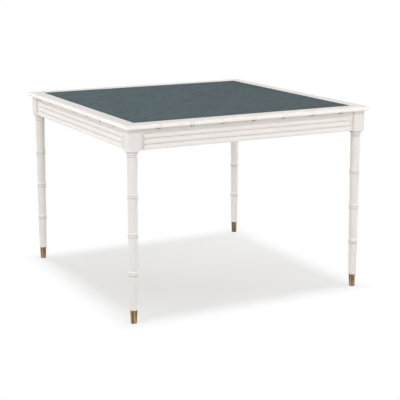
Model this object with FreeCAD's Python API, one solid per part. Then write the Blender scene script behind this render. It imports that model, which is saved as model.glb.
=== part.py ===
import FreeCAD, Part
import math
import os

os.makedirs("parts", exist_ok=True)

Vector = FreeCAD.Vector

# A square games table in the faux-bamboo taste. A white lacquered frame top with a leather
# field stands on four turned legs with brass ferrules. X runs along the front side, Y runs
# from front to back, Z is up, and the origin is on the floor under the middle of the top.
# Every length is in millimetres.

# Driving dimensions of the whole table
table_height = 762.0
table_side = 1080.0
border_width = 45.0
top_thickness = 18.0
block_setback = 14.0
leg_block = 50.0
apron_height = 81.0
apron_thickness = 18.0
apron_setback = 9.5

# Leather field, its panel, and the mitred border round it
leather_thickness = 1.2
leather_recess = 0.6
leather_margin = 0.2
seam_gap = 0.2
glue_gap = 0.1
panel_tongue_length = 8.0
panel_tongue_thickness = 6.0
border_arris = 0.8
spline_length = 20.0
spline_width = 24.0
spline_thickness = 3.0

# Half-round bamboo moulding on the edge of the top
moulding_tongue_length = 5.0
moulding_tongue_thickness = 4.0
moulding_knuckle_count = 7
moulding_knuckle_width = 8.0
moulding_knuckle_rise = 1.0
moulding_groove_width = 4.0
moulding_groove_depth = 2.0

# Reeds laid along the apron
reed_pitch = 21.7
reed_joint_gap = 0.4
reed_depth = 8.6
reed_end_gap = 12.0
reed_names = ("lower", "middle", "upper")

# Turned leg under its square block
pommel_rise = 5.0
pommel_drop = 4.0
neck_top_diameter = 48.0
neck_quirk_depth = 2.4
neck_quirk_height = 2.8
neck_ring_drop = 19.2
neck_rim_rise = 1.5
shaft_top_diameter = 40.0
shaft_width_shares = (0.94, 0.893, 0.859)
shaft_foot_diameter = 31.0
knuckle_height_shares = (0.645, 0.450, 0.254)
knuckle_rise = 1.9
knuckle_swell_height = 13.0
knuckle_shoulder_height = 7.5
knuckle_ring_drop = 2.0
ring_spacing = 8.4
ring_groove_width = 3.6
ring_groove_depth = 2.0
leg_flat = 12.0

# Brass ferrule on the foot
ferrule_height = 52.5
ferrule_top_diameter = 28.0
ferrule_foot_diameter = 24.0
ferrule_wall = 1.2
ferrule_floor = 3.0
ferrule_foot_chamfer = 1.2
ferrule_slack = 0.1
ferrule_screw_length = 26.0
ferrule_screw_recess = 0.4

# Joint between apron and leg
dowel_diameter = 8.0
dowel_in_leg = 14.0
dowel_in_apron = 16.0
dowel_end_gap = 1.0
dowel_spacing = 40.0

# Corner block and the bolt that pulls the leg into the corner
corner_gap = 2.0
corner_block_thickness = 31.5
corner_block_height = 64.0
bolt_diameter = 8.0
bolt_in_leg = 30.0
bolt_past_nut = 4.0
washer_diameter = 22.0
washer_thickness = 1.6
nut_across_flats = 13.0
nut_thickness = 6.5
hole_slack = 0.1
bolt_hole_slack = 0.5

# Wood screws
screw_diameter = 4.0
screw_head_diameter = 8.0
screw_head_height = 2.4
screw_in_apron = 13.0
screw_spacing = 40.0
screw_counterbore = 6.0

# Rail across the middle, under the panel
rail_thickness = 22.0
rail_height = 45.0
rail_tenon_length = 10.0
rail_tenon_shoulder = 6.0

# Steel clips that hold the top down on the aprons
clip_place_share = 0.5
clip_width = 20.0
clip_gauge = 1.6
clip_kerf_width = 2.2
clip_kerf_depth = 10.0
clip_kerf_drop = 12.0
clip_tab_length = 8.0
clip_web_gap = 1.0
clip_flange_length = 24.0
clip_screw_reach = 20.0
clip_screw_in_top = 11.0

# How far every cutting tool runs past the face that it opens
overrun = 5.0

# Places that follow from the sizes above
side_names = ("front", "right", "back", "left")
corner_names = ("front_left", "front_right", "back_right", "back_left")
top_underside = table_height - top_thickness
top_middle = table_height - top_thickness / 2
moulding_radius = top_thickness / 2
border_reach = table_side / 2 - moulding_radius
leather_reach = border_reach - border_width
block_reach = table_side / 2 - block_setback
leg_centre = block_reach - leg_block / 2
block_inside = block_reach - leg_block
apron_face = block_reach - apron_setback
apron_inside = apron_face - apron_thickness
apron_bottom = top_underside - apron_height
apron_middle = top_underside - apron_height / 2
clip_place = block_inside * clip_place_share


# Shared shapes and moves
def block(x_low, x_high, y_low, y_high, z_low, z_high):
    """A box between two planes on each axis."""
    corner = Vector(x_low, y_low, z_low)
    return Part.makeBox(x_high - x_low, y_high - y_low, z_high - z_low, corner)


def face_of(points):
    """A flat face inside a closed outline of straight sides."""
    return Part.Face(Part.makePolygon(points + points[:1]))


def rod(diameter, start, end):
    """A round rod from one point to another."""
    run = end - start
    return Part.makeCylinder(diameter / 2, run.Length, start, run)


def quarter_turned(shape, turns):
    """The shape turned about the table's upright middle line by quarter turns."""
    turned = shape.copy()
    turned.rotate(Vector(0, 0, 0), Vector(0, 0, 1), 90 * turns)
    return turned


def turned(outline):
    """A solid turned on the lathe about an upright axis, from (radius, height) points."""
    points = [Vector(radius, 0, height) for radius, height in outline]
    return face_of(points).revolve(Vector(0, 0, 0), Vector(0, 0, 1), 360)


def group(shapes):
    """Separate solids that share one name."""
    return Part.makeCompound(shapes)


def cut_all(shape, tools):
    """The shape less every tool."""
    for tool in tools:
        shape = shape.cut(tool)
    return shape


def joined(shapes):
    """One clean solid made of touching shapes."""
    whole = shapes[0]
    for shape in shapes[1:]:
        whole = whole.fuse(shape)
    return whole.removeSplitter()


def mitre_wedge():
    """The quarter of the plan that belongs to the front side, cut on both diagonals."""
    reach = table_side / 2 + overrun
    points = [Vector(0, 0, 0), Vector(-reach, -reach, 0), Vector(reach, -reach, 0)]
    return face_of(points).extrude(Vector(0, 0, table_height + overrun))


def save(shape, name):
    """Write one named piece and say how large it is."""
    shape.exportStep("parts/" + name + ".step")
    print(name, len(shape.Solids), "solid", round(shape.Volume), "mm3")


# Holes that the top's own screws need, for the front side
def top_screw_line(place):
    """Lower and upper end of the screw of the clip at one place along the front apron."""
    y = -apron_inside + clip_screw_reach
    low = Vector(place, y, top_underside - clip_gauge)
    high = Vector(place, y, top_underside + clip_screw_in_top)
    return low, high


def top_screw_holes():
    """Pilot holes of all the clip screws, up into the underside of the top."""
    holes = []
    for turns in range(4):
        for place in (-clip_place, clip_place):
            low, high = top_screw_line(place)
            pilot = rod(screw_diameter + hole_slack, low, high + Vector(0, 0, hole_slack))
            holes.append(quarter_turned(pilot, turns))
    return holes


# Leather: two triangular hides that meet on the diagonal from front left to back right
def leather_front():
    reach = leather_reach - leather_margin
    slip = seam_gap / math.sqrt(2)
    z = table_height - leather_recess - leather_thickness
    points = [
        Vector(-reach + slip, -reach, z),
        Vector(reach, -reach, z),
        Vector(reach, reach - slip, z),
    ]
    return face_of(points).extrude(Vector(0, 0, leather_thickness))


def leather_back():
    return quarter_turned(leather_front(), 2)


# Panel under the leather, with a tongue on all four edges
def top_panel():
    reach = leather_reach - glue_gap
    top = table_height - leather_recess - leather_thickness
    core = block(-reach, reach, -reach, reach, top_underside, top)
    tip = reach + panel_tongue_length
    low = top_middle - panel_tongue_thickness / 2
    high = top_middle + panel_tongue_thickness / 2
    tongue = block(-tip, tip, -tip, tip, low, high)
    return cut_all(joined([core, tongue]), top_screw_holes())


# Border board: grooved for the panel inside and for the moulding outside, mitred and splined
def spline_plate(slack):
    """The loose spline of the front left mitre, larger by the slack on each side."""
    long_half = spline_length / 2 + slack
    wide_half = spline_width / 2 + slack
    thick_half = spline_thickness / 2 + slack
    plate = block(-long_half, long_half, -wide_half, wide_half, -thick_half, thick_half)
    plate.rotate(Vector(0, 0, 0), Vector(0, 0, 1), -45)
    centre = (border_reach + leather_reach) / 2
    plate.translate(Vector(-centre, -centre, top_middle))
    return plate


def border_board():
    outer = -border_reach
    inner = -leather_reach
    groove_half = panel_tongue_thickness / 2 + glue_gap
    groove_back = inner - panel_tongue_length - glue_gap
    slot_half = moulding_tongue_thickness / 2 + glue_gap
    slot_back = outer + moulding_tongue_length + glue_gap
    outline = [
        (outer, top_underside),
        (inner, top_underside),
        (inner, top_middle - groove_half),
        (groove_back, top_middle - groove_half),
        (groove_back, top_middle + groove_half),
        (inner, top_middle + groove_half),
        (inner, table_height - border_arris),
        (inner - border_arris, table_height),
        (outer + border_arris, table_height),
        (outer, table_height - border_arris),
        (outer, top_middle + slot_half),
        (slot_back, top_middle + slot_half),
        (slot_back, top_middle - slot_half),
        (outer, top_middle - slot_half),
    ]
    start = -border_reach - overrun
    points = [Vector(start, y, z) for y, z in outline]
    board = face_of(points).extrude(Vector(-2 * start, 0, 0))
    board = board.common(mitre_wedge())
    left_slot = spline_plate(glue_gap)
    right_slot = quarter_turned(left_slot, 1)
    return cut_all(board, [left_slot, right_slot] + top_screw_holes())


# Edge moulding: a half-round bamboo cane with a raised ring between two grooves at each knuckle
def moulding_outline():
    """Distance along the cane and radius there, from one end to the other."""
    reach = table_side / 2 + overrun
    pitch = table_side / (moulding_knuckle_count + 1)
    half = moulding_knuckle_width / 2
    groove_middle = half + moulding_groove_width / 2
    groove_edge = half + moulding_groove_width
    groove_radius = moulding_radius - moulding_groove_depth
    ring_radius = moulding_radius + moulding_knuckle_rise
    points = [(-reach, 0), (-reach, moulding_radius)]
    for number in range(moulding_knuckle_count):
        middle = pitch * (number + 1) - table_side / 2
        points.append((middle - groove_edge, moulding_radius))
        points.append((middle - groove_middle, groove_radius))
        points.append((middle - half, ring_radius))
        points.append((middle + half, ring_radius))
        points.append((middle + groove_middle, groove_radius))
        points.append((middle + groove_edge, moulding_radius))
    points.append((reach, moulding_radius))
    points.append((reach, 0))
    return points


def edge_moulding():
    points = [Vector(x, -border_reach, top_middle - r) for x, r in moulding_outline()]
    axis_point = Vector(0, -border_reach, top_middle)
    cane = face_of(points).revolve(axis_point, Vector(1, 0, 0), -180)
    reach = table_side / 2 + overrun
    tongue_half = moulding_tongue_thickness / 2
    tongue_back = -border_reach + moulding_tongue_length
    tongue = block(
        -reach, reach, -border_reach, tongue_back, top_middle - tongue_half, top_middle + tongue_half
    )
    return joined([cane, tongue]).common(mitre_wedge())


# Dowels between apron and leg, for the front apron's left end and the left apron's front end
def dowel_lines():
    """Ends of the four dowels of the front left corner."""
    lines = []
    middle = apron_face - apron_thickness / 2
    for step in (-dowel_spacing / 2, dowel_spacing / 2):
        z = apron_middle + step
        in_leg = -block_inside - dowel_in_leg
        in_apron = -block_inside + dowel_in_apron
        lines.append((Vector(in_leg, -middle, z), Vector(in_apron, -middle, z)))
        lines.append((Vector(-middle, in_leg, z), Vector(-middle, in_apron, z)))
    return lines


def dowels():
    pieces = []
    for turns in range(4):
        for start, end in dowel_lines():
            pieces.append(quarter_turned(rod(dowel_diameter, start, end), turns))
    return pieces


def dowel_holes():
    """Holes of the front left corner, deeper than the dowels at both ends."""
    holes = []
    for start, end in dowel_lines():
        spare = (end - start).normalize() * dowel_end_gap
        holes.append(rod(dowel_diameter + hole_slack, start - spare, end + spare))
    return holes


# Corner block screws, for the half that enters the front apron at its left end
def diagonal_point(distance, z):
    """A point on the line from the front left leg's middle towards the table's middle."""
    along = distance / math.sqrt(2)
    return Vector(-leg_centre + along, -leg_centre + along, z)


leg_flat_distance = (leg_block - leg_flat) / math.sqrt(2)
corner_block_near = leg_flat_distance + corner_gap
corner_block_far = corner_block_near + corner_block_thickness


def apron_crossing(distance):
    """Where a plane square to the diagonal meets the inner face of the front apron."""
    return -2 * leg_centre + distance * math.sqrt(2) + apron_inside


corner_screw_place = (apron_crossing(corner_block_near) + apron_crossing(corner_block_far)) / 2
corner_screw_mouth = apron_crossing(corner_block_far) - apron_inside - corner_screw_place
corner_screw_seat = corner_screw_mouth - screw_counterbore


def corner_screw_heights():
    return (apron_middle - screw_spacing / 2, apron_middle + screw_spacing / 2)


def across_diagonal(shape):
    """The mirror image on the other side of the corner's diagonal."""
    return shape.mirror(Vector(0, 0, 0), Vector(1, -1, 0))


def corner_screws():
    """The four screws of the front left corner block."""
    screws = []
    for z in corner_screw_heights():
        tip = Vector(corner_screw_place, -apron_inside - screw_in_apron, z)
        seat = Vector(corner_screw_place, corner_screw_seat, z)
        crown = seat + Vector(0, screw_head_height, 0)
        screw = joined([rod(screw_diameter, tip, seat), rod(screw_head_diameter, seat, crown)])
        screws.append(screw)
        screws.append(across_diagonal(screw))
    return screws


def corner_screw_holes():
    """Pilot holes and counterbores of the front left corner block's screws."""
    holes = []
    for z in corner_screw_heights():
        tip = Vector(corner_screw_place, -apron_inside - screw_in_apron - hole_slack, z)
        seat = Vector(corner_screw_place, corner_screw_seat, z)
        mouth = Vector(corner_screw_place, corner_screw_mouth + screw_head_diameter, z)
        pilot = rod(screw_diameter + hole_slack, tip, seat)
        counterbore = rod(screw_head_diameter + bolt_hole_slack, seat, mouth)
        hole = pilot.fuse(counterbore)
        holes.append(hole)
        holes.append(across_diagonal(hole))
    return holes


# Apron board
def tenon_size(slack):
    """The cross rail's front tenon as a box, larger by the slack on its sides and end."""
    half = rail_thickness / 2 - rail_tenon_shoulder + slack
    low = top_underside - rail_height + rail_tenon_shoulder - slack
    high = top_underside - rail_tenon_shoulder + slack
    tip = -apron_inside - rail_tenon_length - slack
    return block(-half, half, tip, -apron_inside + overrun, low, high)


def apron_board(has_mortise):
    board = block(
        -block_inside, block_inside, -apron_face, -apron_inside, apron_bottom, top_underside
    )
    kerf_high = top_underside - clip_kerf_drop
    kerf = block(
        -block_inside - overrun,
        block_inside + overrun,
        -apron_inside - clip_kerf_depth,
        -apron_inside + overrun,
        kerf_high - clip_kerf_width,
        kerf_high,
    )
    left_end = dowel_holes() + corner_screw_holes()
    right_end = [quarter_turned(hole, 1) for hole in left_end]
    tools = [kerf] + left_end + right_end
    if has_mortise:
        tools.append(tenon_size(glue_gap))
    return cut_all(board, tools)


# Reed: a round stick with ball ends, split lengthwise and glued to the apron's face
def reed(number):
    half_width = (reed_pitch - reed_joint_gap) / 2
    radius = (half_width**2 + reed_depth**2) / (2 * reed_depth)
    y = -apron_face - reed_depth + radius
    z = apron_bottom + reed_pitch * number + half_width
    ball_place = block_inside - reed_end_gap - half_width
    tip = ball_place + radius
    bend = ball_place + radius * math.sqrt(0.5)
    rise = y + radius * math.sqrt(0.5)
    edges = [
        Part.LineSegment(Vector(tip, y, z), Vector(-tip, y, z)).toShape(),
        Part.Arc(
            Vector(-tip, y, z), Vector(-bend, rise, z), Vector(-ball_place, y + radius, z)
        ).toShape(),
        Part.LineSegment(
            Vector(-ball_place, y + radius, z), Vector(ball_place, y + radius, z)
        ).toShape(),
        Part.Arc(
            Vector(ball_place, y + radius, z), Vector(bend, rise, z), Vector(tip, y, z)
        ).toShape(),
    ]
    stick = Part.Face(Part.Wire(edges)).revolve(Vector(0, y, z), Vector(1, 0, 0), 360)
    front_room = block(-tip, tip, y - radius, -apron_face, z - radius, z + radius)
    return stick.common(front_room)


# Leg: square block, pommel, ringed neck, and a cane shaft with three knuckles. The two cut rings
# of a knuckle lie under its shoulder, as the leaf scars of real cane do.
def ring_pair(middle, rim_high, rim_low):
    """Two cut rings one under the other, with a bead between them: radius and height."""
    half = ring_spacing / 2
    lip = ring_groove_width / 2
    bead = (rim_high + rim_low) / 2
    return [
        (rim_high, middle + half + lip),
        (rim_high - ring_groove_depth, middle + half),
        (bead, middle + half - lip),
        (bead, middle - half + lip),
        (rim_low - ring_groove_depth, middle - half),
        (rim_low, middle - half - lip),
    ]


def spigot_radius(height):
    """Radius of the leg inside the tapered ferrule at a height above the floor."""
    share = height / ferrule_height
    outer = ferrule_foot_diameter + (ferrule_top_diameter - ferrule_foot_diameter) * share
    return outer / 2 - ferrule_wall - ferrule_slack


def shaft_outline():
    """Radius and height of the turned part, from the pommel down to the foot."""
    neck_high = apron_bottom - pommel_drop
    neck_middle = apron_bottom - neck_ring_drop
    neck_radius = neck_top_diameter / 2
    shaft_radius = shaft_top_diameter / 2
    quirk_radius = neck_radius - neck_quirk_depth
    quirk_low = neck_high - neck_quirk_height
    outline = [(0, neck_high), (quirk_radius, neck_high)]
    outline += [(quirk_radius, quirk_low), (neck_radius, quirk_low)]
    rim_high = shaft_radius + neck_rim_rise
    outline += ring_pair(neck_middle, rim_high, shaft_radius)
    for height_share, width_share in zip(knuckle_height_shares, shaft_width_shares):
        middle = table_height * height_share
        radius = shaft_radius * width_share
        ridge = radius + knuckle_rise
        outline.append((radius, middle + knuckle_swell_height))
        outline.append((ridge, middle + knuckle_shoulder_height))
        outline += ring_pair(middle - knuckle_ring_drop, ridge, ridge - ring_groove_depth / 2)
        outline.append((radius, middle - knuckle_swell_height))
    outline.append((shaft_foot_diameter / 2, ferrule_height))
    outline.append((spigot_radius(ferrule_height), ferrule_height))
    outline.append((spigot_radius(ferrule_floor), ferrule_floor))
    outline.append((0, ferrule_floor))
    return outline


def pommelled_block():
    """The square block, its lower corners turned away to a round shoulder."""
    half = leg_block / 2
    low = apron_bottom - pommel_drop
    high = apron_bottom + pommel_rise
    square = block(-half, half, -half, half, low, top_underside)
    shoulder = neck_top_diameter / 2
    rim = leg_block / math.sqrt(2) + overrun
    corner = leg_block / math.sqrt(2)
    lean = math.sqrt(0.5)
    middle = Vector(shoulder + (corner - shoulder) * lean, 0, high - (high - low) * lean)
    start = Vector(shoulder, 0, low)
    end = Vector(corner, 0, high)
    edges = [
        Part.LineSegment(Vector(0, 0, low), start).toShape(),
        Part.Arc(start, middle, end).toShape(),
        Part.LineSegment(end, Vector(rim, 0, high)).toShape(),
        Part.LineSegment(Vector(rim, 0, high), Vector(rim, 0, top_underside)).toShape(),
        Part.LineSegment(Vector(rim, 0, top_underside), Vector(0, 0, top_underside)).toShape(),
        Part.LineSegment(Vector(0, 0, top_underside), Vector(0, 0, low)).toShape(),
    ]
    envelope = Part.Face(Part.Wire(edges)).revolve(Vector(0, 0, 0), Vector(0, 0, 1), 360)
    return square.common(envelope)


def bolt_hole():
    """The hole of the hanger bolt through corner block and leg, on the corner's diagonal."""
    start = diagonal_point(leg_flat_distance - bolt_in_leg - hole_slack, apron_middle)
    end = diagonal_point(leg_flat_distance + corner_gap / 2, apron_middle)
    return rod(bolt_diameter + hole_slack, start, end)


def ferrule_pilot():
    tip = Vector(-leg_centre, -leg_centre, ferrule_screw_recess + ferrule_screw_length + hole_slack)
    return rod(screw_diameter + hole_slack, Vector(-leg_centre, -leg_centre, 0), tip)


def leg():
    body = joined([pommelled_block(), turned(shaft_outline())])
    body.translate(Vector(-leg_centre, -leg_centre, 0))
    edge = -block_inside
    flat = [
        Vector(edge + overrun, edge + overrun, apron_bottom + pommel_rise),
        Vector(edge - leg_flat - overrun, edge + overrun, apron_bottom + pommel_rise),
        Vector(edge + overrun, edge - leg_flat - overrun, apron_bottom + pommel_rise),
    ]
    flat_cut = face_of(flat).extrude(Vector(0, 0, apron_height + overrun))
    return cut_all(body, [flat_cut, bolt_hole(), ferrule_pilot()] + dowel_holes())


# Ferrule: a tapered brass cup, and the countersunk screw through its floor
def ferrule():
    top = ferrule_top_diameter / 2
    foot = ferrule_foot_diameter / 2
    cup = turned(
        [
            (0, 0),
            (foot - ferrule_foot_chamfer, 0),
            (foot, ferrule_foot_chamfer),
            (top, ferrule_height),
            (top - ferrule_wall, ferrule_height),
            (spigot_radius(ferrule_floor) + ferrule_slack, ferrule_floor),
            (0, ferrule_floor),
        ]
    )
    cup = cup.cut(countersunk_hole())
    cup.translate(Vector(-leg_centre, -leg_centre, 0))
    return cup


def countersunk_hole():
    """Room for the screw in the ferrule's floor, with the slack all round and open below."""
    head = screw_head_diameter / 2 + hole_slack
    shank = screw_diameter / 2 + hole_slack
    return turned(
        [
            (0, -overrun),
            (head, -overrun),
            (head, ferrule_screw_recess),
            (shank, ferrule_screw_recess + screw_head_height),
            (shank, ferrule_floor + overrun),
            (0, ferrule_floor + overrun),
        ]
    )


def ferrule_screw():
    low = ferrule_screw_recess
    tip = low + ferrule_screw_length
    shank = screw_diameter / 2
    head = screw_head_diameter / 2
    screw = turned([(0, low), (head, low), (shank, low + screw_head_height), (shank, tip), (0, tip)])
    screw.translate(Vector(-leg_centre, -leg_centre, 0))
    return screw


# Corner block, glued and screwed across the corner of the aprons
def corner_block():
    near = apron_crossing(corner_block_near)
    far = apron_crossing(corner_block_far)
    low = apron_middle - corner_block_height / 2
    points = [
        Vector(near, -apron_inside, low),
        Vector(far, -apron_inside, low),
        Vector(-apron_inside, far, low),
        Vector(-apron_inside, near, low),
    ]
    body = face_of(points).extrude(Vector(0, 0, corner_block_height))
    start = diagonal_point(leg_flat_distance, apron_middle)
    end = diagonal_point(corner_block_far + overrun, apron_middle)
    passage = rod(bolt_diameter + bolt_hole_slack, start, end)
    return cut_all(body, [passage] + corner_screw_holes())


def hanger_bolt():
    reach = corner_block_far + washer_thickness + nut_thickness + bolt_past_nut
    start = diagonal_point(leg_flat_distance - bolt_in_leg, apron_middle)
    return rod(bolt_diameter, start, diagonal_point(reach, apron_middle))


def bolt_washer():
    start = diagonal_point(corner_block_far, apron_middle)
    end = diagonal_point(corner_block_far + washer_thickness, apron_middle)
    return rod(washer_diameter, start, end).cut(rod(bolt_diameter + bolt_hole_slack, start, end))


def bolt_nut():
    """A hexagon nut, drawn upright and then laid along the corner's diagonal."""
    corner = nut_across_flats / math.sqrt(3)
    ring = [Vector(corner, 0, 0)]
    for number in range(1, 6):
        angle = math.radians(60 * number)
        ring.append(Vector(corner * math.cos(angle), corner * math.sin(angle), 0))
    body = face_of(ring).extrude(Vector(0, 0, nut_thickness))
    bore = rod(bolt_diameter + hole_slack, Vector(0, 0, 0), Vector(0, 0, nut_thickness))
    nut = body.cut(bore)
    nut.rotate(Vector(0, 0, 0), Vector(0, 1, 0), 90)
    nut.rotate(Vector(0, 0, 0), Vector(0, 0, 1), 45)
    nut.translate(diagonal_point(corner_block_far + washer_thickness, apron_middle))
    return nut


# Cross rail, stub-tenoned into the front and back aprons
def cross_rail():
    half = rail_thickness / 2
    low = top_underside - rail_height
    body = block(-half, half, -apron_inside, apron_inside, low, top_underside)
    front_tenon = tenon_size(0)
    return joined([body, front_tenon, quarter_turned(front_tenon, 2)])


# Clip: a bent steel strip, one end in the apron's kerf and the other screwed to the top
def top_clip(place):
    kerf_middle = top_underside - clip_kerf_drop - clip_kerf_width / 2
    tab_low = kerf_middle - clip_gauge / 2
    tab_high = kerf_middle + clip_gauge / 2
    web_back = -apron_inside + clip_web_gap
    web_front = web_back + clip_gauge
    flange_low = top_underside - clip_gauge
    outline = [
        (-apron_inside - clip_tab_length, tab_low),
        (web_front, tab_low),
        (web_front, flange_low),
        (web_back + clip_flange_length, flange_low),
        (web_back + clip_flange_length, top_underside),
        (web_back, top_underside),
        (web_back, tab_high),
        (-apron_inside - clip_tab_length, tab_high),
    ]
    points = [Vector(place - clip_width / 2, y, z) for y, z in outline]
    strip = face_of(points).extrude(Vector(clip_width, 0, 0))
    low, high = top_screw_line(place)
    return strip.cut(rod(screw_diameter + bolt_hole_slack, low, high))


def clip_screw(place):
    low, high = top_screw_line(place)
    crown = low - Vector(0, 0, screw_head_height)
    return joined([rod(screw_diameter, low, high), rod(screw_head_diameter, crown, low)])


def on_all_sides(maker):
    """The same small piece at both places along each of the four aprons."""
    pieces = []
    for turns in range(4):
        for place in (-clip_place, clip_place):
            pieces.append(quarter_turned(maker(place), turns))
    return pieces


def on_all_corners(shape):
    return [quarter_turned(shape, turns) for turns in range(4)]


# The pieces of the top
save(leather_front(), "leather_front")
save(leather_back(), "leather_back")
save(top_panel(), "top_panel")
front_border = border_board()
front_moulding = edge_moulding()
for turns, side in enumerate(side_names):
    save(quarter_turned(front_border, turns), "border_" + side)
    save(quarter_turned(front_moulding, turns), "moulding_" + side)
save(group(on_all_corners(spline_plate(0))), "mitre_splines")

# The pieces of the frame under it
for turns, side in enumerate(side_names):
    has_mortise = side in ("front", "back")
    save(quarter_turned(apron_board(has_mortise), turns), "apron_" + side)
    for number, level in enumerate(reed_names):
        save(quarter_turned(reed(number), turns), "reed_" + side + "_" + level)
save(group(dowels()), "apron_dowels")
save(cross_rail(), "cross_rail")
save(group(on_all_sides(top_clip)), "top_clips")
save(group(on_all_sides(clip_screw)), "clip_screws")

# The pieces of the four corners
front_left_leg = leg()
front_left_ferrule = ferrule()
front_left_block = corner_block()
for turns, corner in enumerate(corner_names):
    save(quarter_turned(front_left_leg, turns), "leg_" + corner)
    save(quarter_turned(front_left_ferrule, turns), "ferrule_" + corner)
    save(quarter_turned(front_left_block, turns), "corner_block_" + corner)
corner_block_screws = []
for screw in corner_screws():
    corner_block_screws += on_all_corners(screw)
save(group(corner_block_screws), "corner_block_screws")
save(group(on_all_corners(hanger_bolt())), "hanger_bolts")
save(group(on_all_corners(bolt_washer())), "bolt_washers")
save(group(on_all_corners(bolt_nut())), "bolt_nuts")
save(group(on_all_corners(ferrule_screw())), "ferrule_screws")
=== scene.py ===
# %% [markdown]
# # A square games table in the faux-bamboo taste
#
# The real table has a frame top with a leather field, four turned legs that imitate cane, and
# brass ferrules on the feet. Everything of wood that shows is sprayed with a warm white lacquer.
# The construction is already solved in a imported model, so this file only makes the looks: it
# reads each part's sizes from that model, builds the shaped pieces again as fine surfaces, and
# gives every piece its finish. All lengths are in metres.

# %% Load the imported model
import math

import bmesh
import bpy
import numpy as np
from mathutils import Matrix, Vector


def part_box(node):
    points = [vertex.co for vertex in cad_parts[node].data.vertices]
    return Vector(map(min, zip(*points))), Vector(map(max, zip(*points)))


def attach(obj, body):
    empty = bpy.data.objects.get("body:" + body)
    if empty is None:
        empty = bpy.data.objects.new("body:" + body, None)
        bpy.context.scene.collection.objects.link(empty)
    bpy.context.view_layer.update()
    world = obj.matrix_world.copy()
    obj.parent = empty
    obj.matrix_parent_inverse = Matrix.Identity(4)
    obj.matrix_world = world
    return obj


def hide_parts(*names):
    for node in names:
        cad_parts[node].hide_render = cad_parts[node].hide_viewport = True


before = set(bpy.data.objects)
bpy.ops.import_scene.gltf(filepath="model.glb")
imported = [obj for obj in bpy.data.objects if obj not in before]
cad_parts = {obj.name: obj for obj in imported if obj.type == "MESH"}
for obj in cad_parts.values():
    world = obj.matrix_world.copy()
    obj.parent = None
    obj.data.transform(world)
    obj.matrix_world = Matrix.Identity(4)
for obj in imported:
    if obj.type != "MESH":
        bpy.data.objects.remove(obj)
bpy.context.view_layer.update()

mm = 0.001

# %% [markdown]
# ## Sizes
#
# A box round each node tells where the wood is. Reading the sizes from those boxes, and not
# typing them again, keeps the looks and the construction together: when the table grows, the
# surfaces below grow with it. Only the small shapes that a box can't tell, such as the width of
# a cut ring, are named, each beside the piece that has it.


# %% Sizes of the main parts
def corners(node):
    """Lowest and highest corner of a node's box, as two arrays."""
    low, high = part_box(node)
    return np.array(low), np.array(high)


border_low, border_high = corners("border_front")
hide_low, hide_high = corners("leather_front")
apron_low = corners("apron_front")[0]
leg_low, leg_high = corners("leg_front_left")
ferrule_low, ferrule_high = corners("ferrule_front_left")

table_height = border_high[2]
top_underside = border_low[2]
top_middle = (table_height + top_underside) / 2
border_reach = -border_low[1]
field_reach = -border_high[1]
apron_bottom = apron_low[2]
side_names = ("front", "right", "back", "left")
corner_names = ("front_left", "front_right", "back_right", "back_left")
print("height", round(table_height, 4), "field", round(2 * field_reach, 4))

# %% [markdown]
# ## From a grid of points to a piece
#
# Every shaped piece here is a sheet of points with rows and columns, bent into its form and
# closed. Four neighbouring points make a face. Where a row shrinks to one point, as at the tip
# of a reed, the doubles are merged into a pole. The normals are then turned outwards, and edges
# sharper than a chosen angle stay crisp while the rest is shaded smooth.


# %% Mesh helpers
merge_distance = 0.002 * mm


def grid_quads(rows, columns, wrap_rows):
    """Faces of a grid: point (i, j) with (i, j+1), (i+1, j+1) and (i+1, j), wrapped where closed."""
    i = np.arange(rows if wrap_rows else rows - 1)
    i, j = np.meshgrid(i, np.arange(columns), indexing="ij")
    next_i = (i + 1) % rows
    next_j = (j + 1) % columns
    quads = [i * columns + j, i * columns + next_j, next_i * columns + next_j, next_i * columns + j]
    return np.stack(quads, axis=-1).reshape(-1, 4)


def shaped(name, points, painted_shading, wrap_rows=False, caps=False, sharp_degrees=32):
    """A closed mesh object from points[row, column], whose columns always wrap round.

    The painted shading is a number per point, 1 for painted shade at the bottom of a cut ring and
    below zero for painted highlight, which the finish reads."""
    rows, columns = points.shape[:2]
    faces = grid_quads(rows, columns, wrap_rows).tolist()
    if caps:
        faces += [list(range(columns)), list(range((rows - 1) * columns, rows * columns))]
    mesh = bpy.data.meshes.new(name)
    mesh.from_pydata(points.reshape(-1, 3), [], faces)
    # The painted shade and painted highlight of each point go into an attribute
    depth = mesh.attributes.new("painted_shading", "FLOAT", "POINT")
    depth.data.foreach_set("value", painted_shading.ravel().astype(np.float32))
    work = bmesh.new()
    work.from_mesh(mesh)
    bmesh.ops.remove_doubles(work, verts=work.verts, dist=merge_distance)
    bmesh.ops.recalc_face_normals(work, faces=work.faces)
    work.to_mesh(mesh)
    work.free()
    mesh.shade_smooth()
    mesh.set_sharp_from_angle(angle=math.radians(sharp_degrees))
    piece = bpy.data.objects.new(name, mesh)
    bpy.context.scene.collection.objects.link(piece)
    return piece


def joined(x, y, z):
    """Points from their three coordinates, each spread over the whole grid."""
    return np.stack(np.broadcast_arrays(x, y, z), axis=-1)


def quarter_turned(points, turns):
    """The points turned about the table's upright middle line by quarter turns."""
    x, y, z = np.moveaxis(points, -1, 0)
    for _ in range(turns):
        x, y = -y, x
    return joined(x, y, z)


def dress(piece, material, slot, *nodes):
    """The piece takes its finish, stands for its nodes and rides on the table's one body."""
    piece.data.materials.append(material)
    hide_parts(*nodes)
    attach(piece, "root")
    print(piece.name, len(piece.data.polygons), "faces")


def four_round(name, node, places, surface, finishes, slot, **closing):
    """A piece and its copies, each turned a quarter further. A * in a name stands for the place."""
    points, painted_shading = surface
    for turns, (place, finish) in enumerate(zip(places, finishes)):
        piece = shaped(name.replace("*", place), quarter_turned(points, turns), painted_shading, **closing)
        dress(piece, finish, slot, node.replace("*", place))


def swelling(distance, core, reach):
    """1 within the core, falling along half a cosine wave to 0 at the reach."""
    share = np.clip((np.abs(distance) - core) / (reach - core), 0, 1)
    return 0.5 + 0.5 * np.cos(np.pi * share)


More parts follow.
